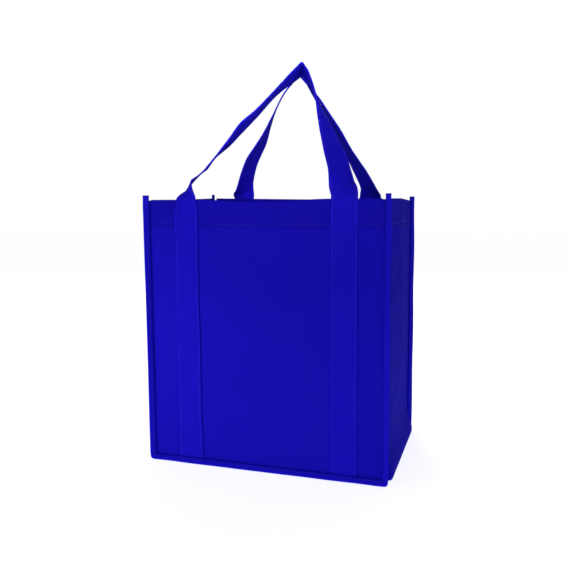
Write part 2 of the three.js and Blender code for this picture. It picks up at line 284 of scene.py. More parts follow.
class Layout:
    """Places that follow from the sizes."""

    def __init__(self, sizes):
        self.sizes = sizes
        self.fold_inset = math.sqrt(2) * PAIR
        self.seam_height = SEAM * math.sqrt(0.5) + TAPE_OFFSET + TAPE / 2
        self.top = self.seam_height + sizes.height
        self.row_top = self.top - PAIR
        self.hem_bottom = self.top - sizes.hem_depth
        self.half_width = sizes.width / 2
        self.half_depth = sizes.depth / 2
        self.corner_z = self.seam_height + CORNER
        tape_end = TAPE_OFFSET + TAPE / 2 - TAPE_START
        self.strap_start = self.seam_height + tape_end * math.sqrt(0.5) + GAP

    def rises(self):
        """Heights of the mesh rows above the round corner, closer together along the hem's edge."""
        step = self.sizes.grid
        under, over = self.hem_bottom - 0.002, self.hem_bottom + 0.010
        low = np.linspace(self.corner_z, under, round((under - self.corner_z) / step))
        edge = np.linspace(under, over, 16)
        high = np.linspace(over, self.row_top, round((self.row_top - over) / step))
        return np.concatenate([low[1:], edge[1:], high[1:]])

    def columns(self, half):
        """Shares of a wall's half width for its mesh columns, one of them at each end of the hem."""
        even = np.linspace(-1, 1, 2 * round(half / self.sizes.grid) + 1)
        hem_end = 1 - HEM_SIDE_GAP / half
        return np.unique(np.round(np.concatenate([even, [-hem_end, hem_end]]), 6))

    def hem_columns(self, half):
        """The mesh columns that the hem covers."""
        shares = self.columns(half)
        return shares[np.abs(shares) <= 1 - HEM_SIDE_GAP / half + 1e-6]

    def hem_rows(self):
        """Heights of the hem's rows down the inside, and the cloth's run from the bottom to each."""
        levels = np.linspace(self.row_top - 0.002, self.hem_bottom, HEM_ROWS)
        return levels, self.top + np.concatenate([[0] * HEM_CURL_STEPS, self.row_top - levels])

    def seam_line(self, rises):
        """The U-shaped seam line: down the left side, along the bottom and up the right side. Each
        corner is a superellipse, whose x and z grow with the powers of a cosine and a sine.

        Gives each station's place (x, z), its outward direction (x, z) and its run from the left top."""
        shares = self.columns(self.half_width)
        corner_x = self.half_width - CORNER
        rising = np.concatenate([[self.corner_z], rises])
        turn = np.linspace(0, math.pi / 2, CORNER_STEPS + 1)[1:-1]
        across, down = np.cos(turn) ** (2 / SQUARENESS), np.sin(turn) ** (2 / SQUARENESS)
        right = np.column_stack(np.broadcast_arrays(self.half_width, rising, 1.0, 0.0))
        bend = np.column_stack([corner_x + CORNER * across, self.corner_z - CORNER * down, across, -down])
        bottom = np.column_stack(np.broadcast_arrays(shares * corner_x, self.seam_height, 0.0, -1.0))
        flip = np.array([-1, 1, -1, 1])
        line = np.concatenate([right[::-1] * flip, bend * flip, bottom, bend[::-1], right])
        run = np.concatenate([[0], np.cumsum(np.hypot(np.diff(line[:, 0]), np.diff(line[:, 1])))])
        return line[:, :2], line[:, 2:], run

    def flange_turn(self, side, place, seed):
        """How far the bound seam leans from 45 degrees along its run, in radians."""
        x, z = place[:, 0], place[:, 1]
        lean = 0.10 * waves(x + 0.3 * side, z, seed, 8, 0.05, 0.3)
        lean = np.where(z < self.corner_z, np.abs(lean), lean)
        end, turn, low, high = SEAM_TURNS[side]
        return lean + turn * smooth(z, low, high) * (x * end > 0)

    def section(self, side, line, pair, reach):
        """A line along the seam: `pair` across the two cloths from their middle, `reach` out along them."""
        place, out, _run = line
        lean = self.flange_turn(side, place, self.sizes.seed + 3) * smooth(reach, 0, 0.003)
        angle = math.pi / 4 + lean
        outward = reach * np.cos(angle) - pair * np.sin(angle)
        along = reach * np.sin(angle) + pair * np.cos(angle)
        return np.stack([
            place[:, 0] + out[:, 0] * outward,
            side * (self.half_depth + along),
            place[:, 1] + out[:, 1] * outward + self.tilt(side, place[:, 0], place[:, 1]),
        ], 1)

    def tilt(self, side, x, z):
        """The back of the mouth stands a little higher at its left end than at its right."""
        if side < 0:
            return np.zeros(np.broadcast(x, z).shape)
        rise = np.clip((z - self.seam_height) / self.sizes.height, 0, 1)
        return (-BACK_DROP - BACK_TILT * x / self.half_width) * rise ** 2

    def panel_half_width(self, z):
        """Half the panel's width inside its folds, drawn in along the superellipse of the corner."""
        radius = CORNER - self.fold_inset
        rise = np.minimum(z - self.corner_z, 0)
        fullness = np.maximum(1 - np.minimum(-rise / radius, 1) ** SQUARENESS, 0) ** (1 / SQUARENESS)
        inset = np.where(rise < 0, radius * (1 - fullness), 0)
        return self.half_width - self.fold_inset - inset

    def relief(self, side, x, z):
        """Small shape of a panel: named soft folds, seeded undulation and the hem's puckered edge."""
        x, z = np.broadcast_arrays(np.asarray(x, float), np.asarray(z, float))
        share = np.clip(x / self.panel_half_width(z), -1, 1)
        window = inside_seams(share, 0.12) * smooth(z - self.seam_height, 0.0, 0.03)
        folds = soft_folds(x, z, FRONT_FOLDS if side < 0 else BACK_FOLDS)
        rolling = PANEL_ROLLING * waves(x, z, self.sizes.seed + 10 + side)
        fine = fine_waves(x, z, self.sizes.seed + 20 + side)
        pulled = self.pull(x, z) if side < 0 else 0
        small = self.sizes.fold_depth * window * (folds + rolling + fine + pulled)
        return small + self.hem_edge(x, z, window)

    def pull(self, x, z):
        """The front left strap turns the mouth's edge with it, and less and less of the wall below."""
        away = x + self.sizes.strap_spacing / 2
        slope = sum(top * np.clip((z - self.top + reach) / reach, 0, None) ** 2 for top, reach in PULLS)
        return slope * away * np.exp(-((away / PULL_WIDTH) ** 2))

    def hem_edge(self, u, z, window):
        """The hem lifts the cloth a little, with a shallow puckered groove along its stitching."""
        row = z - self.hem_bottom - HEM_STITCH
        lifted = HEM_LIFT * smooth(z, self.hem_bottom - 0.0006, self.hem_bottom + 0.0006)
        pucker = 1 + 0.6 * waves(u, 0 * u, self.sizes.seed + 31, 6, 0.006, 0.014)
        return window * (lifted - HEM_GROOVE * pucker * np.exp(-((row / HEM_GROOVE_WIDTH) ** 2)))

    def panel(self, side, x, z, outside=0.0):
        """A panel's wall: bowed outward, sagging between the straps at the front, with its relief."""
        x, z = np.broadcast_arrays(np.asarray(x, float), np.asarray(z, float))
        share = np.clip(x / self.panel_half_width(z), -1, 1)
        swell = np.sin(BOW_PHASE * np.maximum(z - self.seam_height - self.fold_inset, 0) / self.sizes.height)
        out = BOW_PANEL * (1 - share ** 2) * swell + outside + self.relief(side, x, z)
        free_half = (self.sizes.strap_spacing - self.sizes.strap_width) / 2
        across = np.maximum(1 - (x / free_half) ** 2, 0)
        rise = (z - self.seam_height) / self.sizes.height
        sag = FRONT_SAG * across ** 2 * rise ** 2 if side < 0 else 0
        return np.stack([x, side * (self.half_depth + out), z - sag + self.tilt(side, x, z)], -1)

    def gusset(self, side, share, z):
        """A side wall: a belly with a soft upright crease in the middle, and its relief."""
        share, z = np.broadcast_arrays(np.asarray(share, float), np.asarray(z, float))
        belly = 0.5 * (1 - share ** 2) + 0.5 * (1 - np.abs(share))
        swell = np.sin(BOW_PHASE * np.maximum(z - self.corner_z, 0) / (self.top - self.corner_z))
        y = share * (self.half_depth - self.fold_inset)
        window = inside_seams(share, 0.15) * smooth(z - self.corner_z, 0, 0.03)
        rolling = GUSSET_ROLLING * waves(y, z, self.sizes.seed + 40 + side)
        small = rolling + fine_waves(y, z, self.sizes.seed + 50 + side)
        out = BOW_GUSSET * belly * swell + self.sizes.fold_depth * window * small
        out = out + self.hem_edge(y, z, window)
        drop = np.clip(share, 0, 1) * self.tilt(1, np.full(z.shape, side * self.half_width), z)
        return np.stack([side * (self.half_width + out), y, z + drop], -1)


class Sheet:
    """Grids of points that are joined where they lie together, with a texture place for each corner."""

    def __init__(self):
        self.points, self.places, self.faces, self.count = [], [], [], 0

    def add(self, points, u, v, turned=False):
        """A grid of points with its texture places, turned over where it would face inwards."""
        rows, columns = points.shape[:2]
        index = np.arange(rows * columns).reshape(rows, columns) + self.count
        faces = np.stack([index[:-1, :-1], index[:-1, 1:], index[1:, 1:], index[1:, :-1]], -1).reshape(-1, 4)
        self.faces.append(faces[:, ::-1] if turned else faces)
        self.points.append(points.reshape(-1, 3))
        u, v = np.broadcast_to(u, (rows, columns)), np.broadcast_to(v, (rows, columns))
        self.places.append(np.stack([u, v], -1).reshape(-1, 2))
        self.count += rows * columns

    def build(self, name):
        """One mesh of all the grids, with points nearer than a thousandth of a millimetre made one."""
        points = np.concatenate(self.points)
        places = np.concatenate(self.places)
        faces = np.concatenate(self.faces)
        keys = np.round(points * 1e6).astype(np.int64)
        _kept, first, joined = np.unique(keys, axis=0, return_index=True, return_inverse=True)
        joined = joined.reshape(-1)
        return mesh_object(name, points[first], joined[faces], places[faces])


def mesh_object(name, points, faces, corner_places=None):
    """A smooth object on the fixed body, with the cloth's texture places where they are given."""
    mesh = bpy.data.meshes.new(name)
    mesh.from_pydata(points.tolist(), [], faces.tolist())
    if corner_places is not None:
        layer = mesh.uv_layers.new(name="Cloth")
        layer.data.foreach_set("uv", corner_places.reshape(-1).astype(np.float32))
    mesh.polygons.foreach_set("use_smooth", np.ones(len(mesh.polygons), bool))
    mesh.update()
    made = bpy.data.objects.new(name, mesh)
    bpy.context.scene.collection.objects.link(made)
    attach(made, "root")
    return made


def thicken(made, thickness):
    """Gives a sheet its thickness, half of it to each side."""
    solid = made.modifiers.new("Thickness", "SOLIDIFY")
    solid.thickness = thickness
    solid.offset = 0.0
    solid.use_even_offset = True
    return made


def normals_of(grid):
    """Upright directions of a grid of points, from its two runs."""
    return unit(np.cross(np.gradient(grid, axis=0), np.gradient(grid, axis=1)))


def hem_column(place, row_top, levels, inward):
    """Over a half round at the mouth and down the inside to the hem's lower edge."""
    turn = np.linspace(0, math.pi, HEM_CURL_STEPS)[:, None, None]
    edge = place(row_top)[None]
    curl = edge + PAIR * (1 - np.cos(turn)) * inward + PAIR * np.sin(turn) * np.array([0, 0, 1.0])
    inside = np.stack([place(z) + 2 * PAIR * inward for z in levels])
    return np.concatenate([curl, inside])


def make_panel(layout, side, name):
    """One panel: its wall, the 45 degree flange round three sides and the hem at the mouth."""
    rises, shares = layout.rises(), layout.columns(layout.half_width)
    line = layout.seam_line(rises)
    run = line[2]
    count = CORNER_STEPS + len(rises)
    last = len(run) - 1
    fold = layout.section(side, line, PAIR, -PAIR)
    sheet = Sheet()
    rows = np.arange(count + 1)
    x_edge, z_row = fold[last - count + rows, 0], fold[last - count + rows, 2]
    x, z = shares[None] * x_edge[:, None], np.repeat(z_row[:, None], len(shares), 1)
    wall = layout.panel(side, x, z)
    wall[:, 0], wall[:, -1] = fold[count - rows], fold[last - count + rows]
    wall[0] = fold[count:last - count + 1]
    sheet.add(wall, x, z, side > 0)
    flange = np.stack([layout.section(side, line, PAIR, reach) for reach in FLANGE_ROWS])
    sheet.add(flange, run[None], FLANGE_ROWS[:, None], side < 0)
    x = layout.hem_columns(layout.half_width) * layout.panel_half_width(np.array(layout.row_top))
    levels, down = layout.hem_rows()
    inward = np.array([0, -side, 0.0])
    hem = hem_column(lambda z: layout.panel(side, x, z), layout.row_top, levels, inward)
    sheet.add(hem, x[None], down[:, None], side > 0)
    made = thicken(sheet.build(name), CLOTH)
    return made


def make_gusset(layout):
    """One strip: down the left side, along the bottom and up the right side, with flanges and hems."""
    line = layout.seam_line(layout.rises())
    place, out, run = line
    depth = layout.columns(layout.half_depth)
    sheet = Sheet()
    wall = np.empty((len(depth), len(place), 3))
    wall[:, :, 0] = place[:, 0]
    wall[:, :, 1] = (depth * (layout.half_depth - layout.fold_inset))[:, None]
    wall[:, :, 2] = place[:, 1]
    for side in (-1, 1):
        upright = (out[:, 0] == side)
        wall[:, upright] = layout.gusset(side, depth[:, None], place[upright, 1][None])
    bottom = out[:, 1] == -1
    rolling = waves(wall[:, bottom, 0], wall[:, bottom, 1], layout.sizes.seed + 60)
    wall[:, bottom, 2] += BOTTOM_ROLLING * inside_seams(depth, 0.2)[:, None] * rolling
    corner_run = layout.row_top - layout.corner_z + CORNER * math.pi / 4
    away = run[-1] / 2 - np.abs(run - run[-1] / 2) - corner_run
    pushed = np.exp(-((away / CORNER_SPREAD) ** 2)) * inside_seams(depth, 0.12)[:, None]
    wall[:, :, 0] += CORNER_OUT * pushed * out[:, 0]
    wall[:, :, 2] += CORNER_DOWN * pushed * out[:, 1]
    for side, row in ((-1, 0), (1, -1)):
        wall[row] = layout.section(side, line, -PAIR, -PAIR)
    sheet.add(wall, run[None], wall[:, :, 1], True)
    kept = layout.hem_columns(layout.half_depth)
    levels, down = layout.hem_rows()
    for side in (-1, 1):
        flange = np.stack([layout.section(side, line, -PAIR, reach) for reach in FLANGE_ROWS])
        sheet.add(flange, run[None], side * (layout.half_depth + FLANGE_ROWS)[:, None], side > 0)
    for side in (-1, 1):
        inward = np.array([-side, 0, 0.0])
        hem = hem_column(lambda z: layout.gusset(side, kept, z), layout.row_top, levels, inward)
        sheet.add(hem, down[:, None], (kept * layout.half_depth)[None], side < 0)
    made = thicken(sheet.build("Gusset"), CLOTH)
    return made


def make_tape(layout, side, name):
    """A tape folded over both cloths of a seam, with its free ends standing above the mouth."""
    rises = np.append(layout.rises(), layout.top + np.array([0.0015, 0.003, 0.0045, TAPE_STUB]))
    line = layout.seam_line(rises)
    run = line[2]
    turn = np.linspace(0, math.pi, 9)
    pairs = np.concatenate([[TAPE_OFFSET] * 4, TAPE_OFFSET * np.cos(turn), [-TAPE_OFFSET] * 4])
    flat = np.array([TAPE_START, 0.0025, TAPE_STITCH, 0.0058])
    reaches = np.concatenate([flat, SEAM + TAPE_OFFSET * np.sin(turn), flat[::-1]])
    pinch = 0.00018 * np.exp(-(((reaches - TAPE_STITCH) / 0.0009) ** 2))
    pairs = pairs - np.sign(pairs) * pinch
    grid = np.stack([layout.section(side, line, *point) for point in zip(pairs, reaches)])
    across = np.concatenate([[0], np.cumsum(np.hypot(np.diff(pairs), np.diff(reaches)))])
    sheet = Sheet()
    sheet.add(grid, run[None], across[:, None], side < 0)
    made = thicken(sheet.build(name), TAPE)
    return made, line


def smooth_curve(at, knots, values):
    """A curve through the values at the knots, whose slope at each knot is that between its neighbours."""
    slopes = np.empty_like(values)
    slopes[1:-1] = (values[2:] - values[:-2]) / (knots[2:] - knots[:-2])[:, None]
    slopes[0] = (values[1] - values[0]) / (knots[1] - knots[0])
    slopes[-1] = (values[-1] - values[-2]) / (knots[-1] - knots[-2])
    low = np.clip(np.searchsorted(knots, at, side="right") - 1, 0, len(knots) - 2)
    gap = (knots[low + 1] - knots[low])[:, None]
    t = (at - knots[low])[:, None] / gap
    return (
        values[low] * (1 + 2 * t) * (1 - t) ** 2 + slopes[low] * gap * t * (1 - t) ** 2
        + values[low + 1] * t * t * (3 - 2 * t) + slopes[low + 1] * gap * t * t * (t - 1)
    )


class Handle:
    """One strap: up a panel, over a sharp fold above the mouth, and down the panel again."""

    def __init__(self, layout, shape):
        self.layout, self.shape, self.side = layout, shape, shape["side"]
        lean = math.radians(shape["lean"])
        self.fold_across = unit(np.array([shape["yaw"], self.side * math.cos(lean), math.sin(lean)]))
        up = np.array([0, -self.side * math.sin(lean), math.cos(lean)])
        self.fold_up = unit(up - self.fold_across * np.dot(self.fold_across, up))
        run = np.cross(self.fold_up, self.fold_across)
        self.fold_run = run * np.sign(run[0])
        self.fold_centre = self.scaled(np.array([shape["fold"]]))[0]

    def scaled(self, places):
        """Places given for the standing bag, in millimetres, moved with the bag's sizes."""
        sizes = self.layout.sizes
        made = places * 0.001
        made[:, 0] *= sizes.strap_spacing / STATION_SPACING
        made[:, 1] *= sizes.depth / STATION_DEPTH
        made[:, 2] += self.layout.top - STATION_TOP
        return made

    def seat(self, way):
        """The sewn strap's middle in x, on the left (-1) or the right (1)."""
        seat = self.shape["seats"][0 if way < 0 else 1]
        return seat * self.layout.sizes.strap_spacing / STATION_SPACING

    def fold_point(self, angle):
        """A point on the fold's small arc, whose angle runs from straight up towards the right."""
        around = self.fold_up * math.cos(angle) + self.fold_run * math.sin(angle)
        return self.fold_centre + FOLD_RADIUS * around

    def leg(self, way, shares, half, seat_row):
        """The free leg's rows, from the mouth to the fold, across a smooth curve through the stations.
        The first rows ease out of the sewn strap's shape and the last ones into the fold's."""
        stations = np.array(self.shape["left" if way < 0 else "right"], float)
        places, twists = self.scaled(stations[:, :3]), np.radians(stations[:, 3:])
        places[0] = seat_row.mean(axis=0) + np.array([0, 0, LEG_START])
        places[-1] = self.fold_point(way * math.radians(self.shape["climb"][0 if way < 0 else 1]))
        knots = np.concatenate([[0], np.cumsum(np.linalg.norm(np.diff(places, axis=0), axis=1))])
        at = np.linspace(0, knots[-1], LEG_ROWS)
        middle, twist = smooth_curve(at, knots, places), smooth_curve(at, knots, twists)
        heading = unit(np.gradient(middle, axis=0))
        inner = np.array([-way, 0, 0.0])
        flat = unit(inner - heading * (heading @ inner)[:, None])
        across = flat * np.cos(twist) + np.cross(heading, flat) * np.sin(twist)
        facing = np.cross(heading, across)
        along = at / knots[-1]
        cup = CUP * np.sin(math.pi * along) * np.sin(9 * along + 2 * way + self.side)
        rows = middle[:, None] + across[:, None] * shares[:, None] * half
        rows = rows + facing[:, None] * (cup[:, None] * (1 - shares ** 2))[:, :, None]
        fold_row = places[-1] + self.fold_across * shares[:, None] * half
        seat_shape = seat_row - seat_row.mean(axis=0) - (rows[0] - middle[0])
        start = (1 - smooth(along, 0, 0.07))[:, None, None] * seat_shape
        end = smooth(along, 0.9, 1)[:, None, None] * (fold_row - rows[-1])
        return rows + start + end

    def on_panel(self, way, shares, half):
        """The part sewn to the panel, lying on its small shape."""
        layout = self.layout
        sewn = np.linspace(layout.strap_start, layout.row_top, SEWN_ROWS)
        heights = np.append(sewn, layout.row_top + SEWN_END)
        x = self.seat(way) - way * shares * half
        rows = layout.panel(self.side, x[None], np.minimum(heights, layout.row_top)[:, None], STRAP_OFFSET)
        rows[:, :, 2] += np.maximum(heights - layout.row_top, 0)[:, None]
        return rows

    def grid(self, shares):
        """The strap's middle surface, from the left strap's bottom end to the right strap's."""
        half = self.layout.sizes.strap_width / 2
        left, right = (math.radians(climb) for climb in self.shape["climb"])
        angles = np.linspace(-left, right, 12)[1:-1]
        fold = np.array([self.fold_point(a) + self.fold_across * shares[:, None] * half for a in angles])
        sewn = {way: self.on_panel(way, shares, half) for way in (-1, 1)}
        legs = {way: self.leg(way, shares, half, sewn[way][-1]) for way in (-1, 1)}
        rows = np.concatenate([sewn[-1], legs[-1], fold, legs[1][::-1], sewn[1][::-1]])
        middle = rows[:, len(shares) // 2]
        run = np.concatenate([[0], np.cumsum(np.linalg.norm(np.diff(middle, axis=0), axis=1))])
        return rows, run


def strap_shares():
    """Columns across a strap as shares of its half width, closer together at its folded edges."""
    turn = np.linspace(-1, 1, 33)
    return np.sign(turn) * (1 - (1 - np.abs(turn)) ** 1.35)


def strap_half_thickness(shares):
    """The strap's section: doubled cloth, fuller at its folded edges, pressed in along both stitch rows."""
    edge = np.abs(shares)
    body = STRAP / 2 + 0.00030 * smooth(edge, 0.84, 0.93)
    groove = 0.00028 * np.exp(-(((edge - STITCH_LINE) / 0.035) ** 2))
    return (body - groove) * np.sqrt(np.clip(1 - np.maximum((edge - 0.93) / 0.072, 0) ** 2, 0.02, 1))


def make_strap(handle, name):
    """The handle strap as a closed band round its middle surface."""
    shares = strap_shares()
    rows, run = handle.grid(shares)
    facing = normals_of(rows)
    half = strap_half_thickness(shares)[None, :, None]
    ripple = 1 + 0.10 * waves(run, 0 * run, 91 + handle.side, 8, 0.006, 0.05)[:, None, None]
    over, under = rows + facing * half * ripple, rows - facing * half * ripple
    wide = shares * handle.layout.sizes.strap_width / 2
    sheet = Sheet()
    sheet.add(over, wide[None], run[:, None], True)
    sheet.add(under, wide[None], run[:, None])
    for column, turned in ((0, False), (-1, True)):
        rim = np.stack([over[:, column], under[:, column]], 1)
        sheet.add(rim, np.array([[0, 0.001]]) + wide[column], run[:, None], turned)
    for row, turned in ((0, True), (-1, False)):
        end = np.stack([over[row], under[row]], 1)
        sheet.add(end, wide[:, None], np.array([[0, 0.001]]) + run[row], turned)
    made = sheet.build(name)
    return made, rows, facing


def stitch_row(path, upward, pitch=0.0036, length=0.0024, radius=0.00027):
    """Threads along a line: each is a short bowed tube whose two ends dip into the cloth."""
    run = np.concatenate([[0], np.cumsum(np.linalg.norm(np.diff(path, axis=0), axis=1))])
    starts = np.arange(pitch / 2, run[-1] - length, pitch)
    share = np.linspace(0, 1, 5)
    at = starts[:, None] + share[None] * length
    place = np.stack([np.interp(at, run, path[:, axis]) for axis in range(3)], -1)
    up = unit(np.stack([np.interp(at, run, upward[:, axis]) for axis in range(3)], -1))
    heading = unit(place[:, -1:] - place[:, :1]) + 0 * place
    aside = unit(np.cross(heading, up))
    place = place + up * (radius * (2.2 * np.sin(math.pi * share) - 0.9))[None, :, None]
    turn = np.arange(6) / 6 * 2 * math.pi
    thin = radius * (0.55 + 0.45 * np.sin(math.pi * share))[None, :, None, None]
    ring = up[:, :, None] * np.cos(turn)[:, None] + aside[:, :, None] * np.sin(turn)[:, None]
    points = place[:, :, None] + ring * thin
    index = np.arange(points.shape[0] * 5 * 6).reshape(-1, 5, 6)
    after = np.roll(index, -1, axis=2)
    sides = np.stack([index[:, :-1], after[:, :-1], after[:, 1:], index[:, 1:]], -1).reshape(-1, 4)
    first = np.concatenate([index[:, 0, [0, 5, 4, 3]], index[:, 0, [0, 3, 2, 1]]])
    last = np.concatenate([index[:, 4, [0, 1, 2, 3]], index[:, 4, [0, 3, 4, 5]]])
    return points.reshape(-1, 3), np.concatenate([sides, first, last])


def join_rows(name, rows):
    """One object of several rows of stitches."""
    points, faces, count = [], [], 0
    for row_points, row_faces in rows:
        points.append(row_points)
        faces.append(row_faces + count)
        count += len(row_points)
    return mesh_object(name, np.concatenate(points), np.concatenate(faces))


def strap_threads(rows, facing):
    """Both stitch rows of a strap, on both of its faces."""
    made = []
    sunk = 0.00010
    shares = strap_shares()
    for line in (-STITCH_LINE, STITCH_LINE):
        at = int(np.argmin(np.abs(shares - line)))
        for face in (-1, 1):
            surface = rows[:, at] + face * facing[:, at] * (STRAP / 2 - sunk)
            made.append(stitch_row(surface, face * facing[:, at]))
    return made


def hem_threads(layout):
    """The stitch rows along the hem's lower edge, on the outside of all four walls."""
    z = layout.hem_bottom + HEM_STITCH
    made = []
    for side in (-1, 1):
        x = np.linspace(-1, 1, 300) * (layout.half_width - 0.005)
        wall = layout.panel(side, x, np.full(300, z), CLOTH / 2)
        upward = np.tile([0, float(side), 0], (300, 1))
        made.append(stitch_row(wall, upward, HEM_PITCH))
        share = np.linspace(-0.95, 0.95, 200)
        wall = layout.gusset(side, share, np.full(200, z)) + np.array([side * CLOTH / 2, 0, 0])
        made.append(stitch_row(wall, np.tile([float(side), 0, 0], (200, 1)), HEM_PITCH))
    return made


def tape_threads(layout, side, line):
    """One stitch row along each face of a binding tape."""
    made = []
    sunk = 0.00018
    for face in (-1, 1):
        place = layout.section(side, line, face * (TAPE_OFFSET + TAPE / 2 - sunk), TAPE_STITCH)
        above = layout.section(side, line, face * (TAPE_OFFSET + 0.002), TAPE_STITCH)
        made.append(stitch_row(place, unit(above - place), pitch=0.0037, length=0.0025, radius=0.00024))
    return made


def make_board(layout):
    """A flat board with round corners and softly broken edges."""
    x, y = layout.half_width - BOARD_END_GAP, layout.half_depth - BOARD_SIDE_GAP
    low = layout.seam_height + CLOTH / 2 + GAP
    turn = np.linspace(0, math.pi / 2, 10)
    corners = []
    for quarter, (sx, sy) in enumerate(((1, 1), (-1, 1), (-1, -1), (1, -1))):
        angle = turn + quarter * math.pi / 2
        corners.append(np.stack([
            sx * (x - BOARD_CORNER) + BOARD_CORNER * np.cos(angle),
            sy * (y - BOARD_CORNER) + BOARD_CORNER * np.sin(angle)], 1))
    outline = np.concatenate(corners)
    heading = unit(np.roll(outline, -1, axis=0) - np.roll(outline, 1, axis=0))
    outward = np.stack([heading[:, 1], -heading[:, 0]], 1)
    count, soft, part = len(outline), BOARD_EDGE, BOARD_EDGE * 0.3
    levels = ((0, soft), (part, part), (soft, 0), (BOARD - soft, 0), (BOARD - part, part), (BOARD, soft))
    rings = [
        np.column_stack([outline - outward * inset, np.full(count, low + rise)]) for rise, inset in levels]
    points = np.concatenate(rings)
    index = np.arange(len(points)).reshape(len(levels), count)
    after = np.roll(index, -1, axis=1)
    sides = np.stack([index[:-1], after[:-1], after[1:], index[1:]], -1).reshape(-1, 4)
    faces = sides.tolist() + [index[0, ::-1].tolist(), index[-1].tolist()]
    mesh = bpy.data.meshes.new("Base_Board")
    mesh.from_pydata(points.tolist(), [], faces)
    mesh.update()
    made = bpy.data.objects.new("Base_Board", mesh)
    bpy.context.scene.collection.objects.link(made)
    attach(made, "root")
    return made


class Look:
    """A material made node by node round its shader."""

    def __init__(self, name):
        self.material = bpy.data.materials.new(name)
        self.material.use_nodes = True
        self.shader = self.material.node_tree.nodes["Principled BSDF"]

    def join(self, output, socket):
        """Links an output to a socket."""
        self.material.node_tree.links.new(output, socket)

    def add(self, kind, inputs, **values):
        """A node with its settings, and each input as a number or as another node's output."""
        node = self.material.node_tree.nodes.new(kind)
        for key, value in values.items():
            setattr(node, key, value)
        for key, value in inputs.items():
            if isinstance(value, bpy.types.NodeSocket):
                self.join(value, node.inputs[key])
            else:
                node.inputs[key].default_value = value
        return node

    def times(self, first, second):
        """The product of two numbers or outputs."""
        return self.add("ShaderNodeMath", {0: first, 1: second}, operation="MULTIPLY").outputs["Value"]

    def span(self, value, start, end, low, high, **values):
        """Takes a value from between start and end to between low and high."""
        inputs = {"Value": value, "From Min": start, "From Max": end, "To Min": low, "To Max": high}
        return self.add("ShaderNodeMapRange", inputs, **values).outputs["Result"]

    def colour_by(self, colour, level):
        """Sets the shader's colour, scaled by a level."""
        tint = self.add("ShaderNodeVectorMath", {0: tuple(colour), "Scale": level}, operation="SCALE")
        self.join(tint.outputs["Vector"], self.shader.inputs["Base Color"])

    def bump(self, height, strength, distance):
        """Raises the surface by a height pattern."""
        inputs = {"Height": height, "Strength": strength, "Distance": distance}
        self.join(self.add("ShaderNodeBump", inputs).outputs["Normal"], self.shader.inputs["Normal"])


def woven_look(name, colour, roughness=0.85, dimple=0.0016, hem_height=None, edge=None):
    """Matte point-bonded cloth: a diagonal grid of small dimples, fine fibres and faintly mottled colour.

    Above hem_height the colour is darkened a little, a painted shade for the darker top of the walls. A strap
    of half width `edge` gets a painted highlight along its folded edges and painted shade along its stitch
    rows."""
    look = Look(name)
    where = look.add("ShaderNodeTexCoord", {})
    source = where.outputs["UV"]
    turned = look.add("ShaderNodeMapping", {
        "Vector": source, "Rotation": (0, 0, math.radians(45)), "Scale": (1 / dimple,) * 3})
    dots = look.add("ShaderNodeTexVoronoi", {
        "Vector": turned.outputs["Vector"], "Scale": 1.0, "Randomness": 0.12}, voronoi_dimensions="2D")
    pressed = look.span(dots.outputs["Distance"], 0.18, 0.42, 0.0, 1.0, interpolation_type="SMOOTHSTEP")
    fibre = look.add("ShaderNodeTexNoise", {"Vector": source, "Scale": 1400.0, "Detail": 3.0})
    height = look.add(
        "ShaderNodeMath", {0: fibre.outputs["Fac"], 1: 0.5, 2: pressed}, operation="MULTIPLY_ADD")
    look.bump(height.outputs["Value"], 1.0, 0.00010)
    cloud = look.add("ShaderNodeTexNoise", {
        "Vector": source, "Scale": 260.0, "Detail": 5.0, "Roughness": 0.7})
    level = look.span(cloud.outputs["Fac"], 0.25, 0.75, 0.95, 1.05)
    if hem_height is not None:
        # Painted shade: the cloth above the hem's lower edge is darkened to 0.87 of its colour, for the shade
        # at the top of the walls.
        parts = look.add("ShaderNodeSeparateXYZ", {"Vector": where.outputs["Object"]})
        painted_hem_shade = look.span(parts.outputs["Z"], hem_height - 0.0005, hem_height + 0.0005, 1.0, 0.87)
        level = look.times(level, painted_hem_shade)
    # Painted highlight and shade across a strap: its folded edges are made paler for the light their rounded
    # edges catch, and its stitch rows deeper for the shade in their grooves.
    if edge is not None:
        sides = look.add("ShaderNodeSeparateXYZ", {"Vector": source})
        share = look.times(sides.outputs["X"], 1 / edge)
        distance = look.add("ShaderNodeMath", {0: share}, operation="ABSOLUTE")
        painted_strap_light = look.add("ShaderNodeValToRGB", {"Fac": distance.outputs["Value"]})
        for at, grey in ((0.74, 0.80), (0.80, 0.76), (0.86, 0.76), (0.90, 0.84), (0.93, 1.0)):
            painted_strap_light.color_ramp.elements.new(at).color = (grey, grey, grey, 1)
        painted_strap_light.color_ramp.elements[0].color = (0.80, 0.80, 0.80, 1)
        level = look.times(level, look.times(painted_strap_light.outputs["Color"], 1.25))
    look.colour_by(colour, level)
    look.shader.inputs["Roughness"].default_value = roughness
    look.shader.inputs["Specular IOR Level"].default_value = 0.02
    return look.material


def thread_look(colour):
    """Twisted polyester thread: fine slanting lines and a little shine."""
    look = Look("Thread")
    where = look.add("ShaderNodeTexCoord", {})
    lines = look.add("ShaderNodeTexWave", {
        "Vector": where.outputs["Object"], "Scale": 900.0, "Distortion": 1.0}, bands_direction="DIAGONAL")
    look.colour_by(colour, look.span(lines.outputs["Fac"], 0.0, 1.0, 0.75, 1.1))
    look.shader.inputs["Roughness"].default_value = 0.55
    look.shader.inputs["Specular IOR Level"].default_value = 0.4
    return look.material


